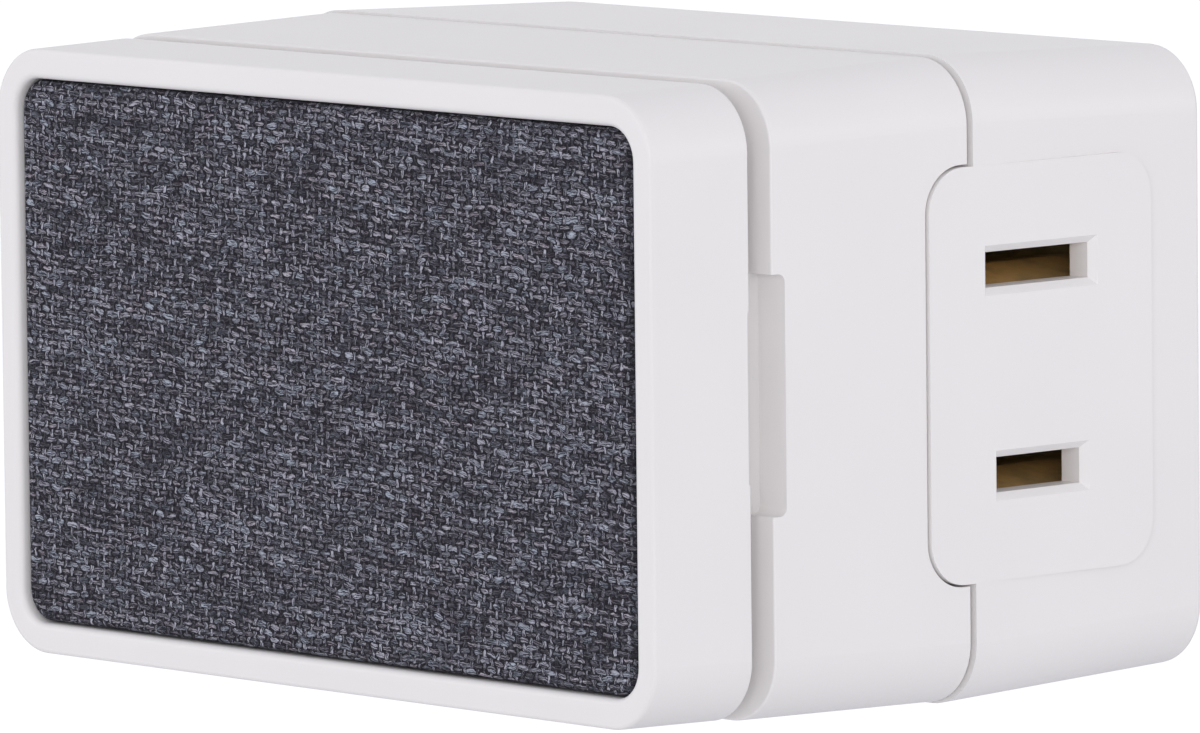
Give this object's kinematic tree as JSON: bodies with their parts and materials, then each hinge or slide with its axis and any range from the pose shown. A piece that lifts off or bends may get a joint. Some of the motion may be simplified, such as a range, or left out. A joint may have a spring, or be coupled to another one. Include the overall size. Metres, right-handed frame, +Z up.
{
  "type": "plug-in timer switch",
  "caption": "Plug-in digital timer switch: a white block with polarised outlets in its sides, plug blades at its back and a hinged fabric-faced door over its display and buttons.",
  "frame": {"origin": "centre of the face that meets the wall, midway between the plug blades", "axes": "+X to the right as the user faces the timer, +Y into the wall along the plug blades, +Z up"},
  "size_m": [0.0626, 0.0631, 0.0402],
  "materials": {
    "shell_white": "semi-gloss moulded",
    "fabric_charcoal": "plain woven heather",
    "insert_black": "matt sheet",
    "adhesive_pale": "adhesive film",
    "magnet_nickel": "nickel plated",
    "steel_plain": "zinc plated",
    "fascia_film": "satin film",
    "window_clear": "clear",
    "lcd_glass": "satin",
    "plastic_black": "satin moulded",
    "zebra_rubber": "matt",
    "key_grey": "satin moulded",
    "board_green": "solder mask",
    "crystal_can": "satin",
    "lamp_red": "tinted",
    "pipe_clear": "clear",
    "ceramic_tan": "matt",
    "pin_gold": "gold flash",
    "blade_nickel": "nickel plated",
    "contact_brass": "bright",
    "cover_grey": "satin moulded",
    "film_yellow": "moulded case",
    "can_sleeve": "shrink sleeve",
    "varistor_blue": "dipped",
    "resistor_body": "lacquered",
    "fuse_body": "lacquered"
  },
  "bodies": {
    "housing": {"front_housing": "shell_white", "fascia_label": "fascia_film", "keeper_disc": "steel_plain", "display_window": "window_clear", "display_glass": "lcd_glass", "display_frame": "plastic_black", "zebra_strips": "zebra_rubber", "switch_bodies": "plastic_black", "control_board": "board_green", "board_screws": "steel_plain", "controller_chip": "plastic_black", "timing_crystal": "crystal_can", "backup_cell": "magnet_nickel", "cell_clip": "steel_plain", "status_lamp": "lamp_red", "light_pipe": "pipe_clear", "chip_components": "ceramic_tan", "header_body": "plastic_black", "header_pins": "pin_gold", "rear_housing": "shell_white", "housing_screws": "steel_plain", "neutral_blade": "blade_nickel", "line_blade": "blade_nickel", "neutral_strip": "contact_brass", "switched_line_strip": "contact_brass", "line_link": "contact_brass", "contact_cover": "cover_grey", "power_board": "board_green", "power_board_screws": "steel_plain", "relay": "plastic_black", "film_capacitor": "film_yellow", "electrolytic_capacitor": "can_sleeve", "varistor": "varistor_blue", "rectifier_diodes": "plastic_black", "line_fuse": "fuse_body", "power_resistor": "resistor_body", "regulator": "plastic_black"},
    "door": {"door_frame": "shell_white", "insert_board": "insert_black", "fabric_cover": "fabric_charcoal", "insert_adhesive": "adhesive_pale", "door_magnet": "magnet_nickel", "hinge_pins": "steel_plain"},
    "program_button": {"program_key": "key_grey", "program_plunger": "plastic_black"},
    "clock_button": {"clock_key": "key_grey", "clock_plunger": "plastic_black"},
    "hour_button": {"hour_key": "key_grey", "hour_plunger": "plastic_black"},
    "minute_button": {"minute_key": "key_grey", "minute_plunger": "plastic_black"},
    "mode_button": {"mode_key": "key_grey", "mode_plunger": "plastic_black"},
    "reset_button": {"reset_key": "key_grey", "reset_plunger": "plastic_black"}
  },
  "joints": [
    {"name": "door_hinge", "type": "hinge", "parent": "housing", "child": "door", "pos_m": [-0.02783, -0.0407, 0], "axis": [0, 0, -1], "range_deg": [0, 100]},
    {"name": "program_press", "type": "slide", "parent": "housing", "child": "program_button", "axis": [0, 1, 0], "range_m": [0, 0.0004], "stiffness_N_per_m": 300},
    {"name": "clock_press", "type": "slide", "parent": "housing", "child": "clock_button", "axis": [0, 1, 0], "range_m": [0, 0.0004], "stiffness_N_per_m": 300},
    {"name": "hour_press", "type": "slide", "parent": "housing", "child": "hour_button", "axis": [0, 1, 0], "range_m": [0, 0.0004], "stiffness_N_per_m": 300},
    {"name": "minute_press", "type": "slide", "parent": "housing", "child": "minute_button", "axis": [0, 1, 0], "range_m": [0, 0.0004], "stiffness_N_per_m": 300},
    {"name": "mode_press", "type": "slide", "parent": "housing", "child": "mode_button", "axis": [0, 1, 0], "range_m": [0, 0.0004], "stiffness_N_per_m": 300},
    {"name": "reset_press", "type": "slide", "parent": "housing", "child": "reset_button", "axis": [0, 1, 0], "range_m": [0, 0.0004], "stiffness_N_per_m": 300}
  ]
}
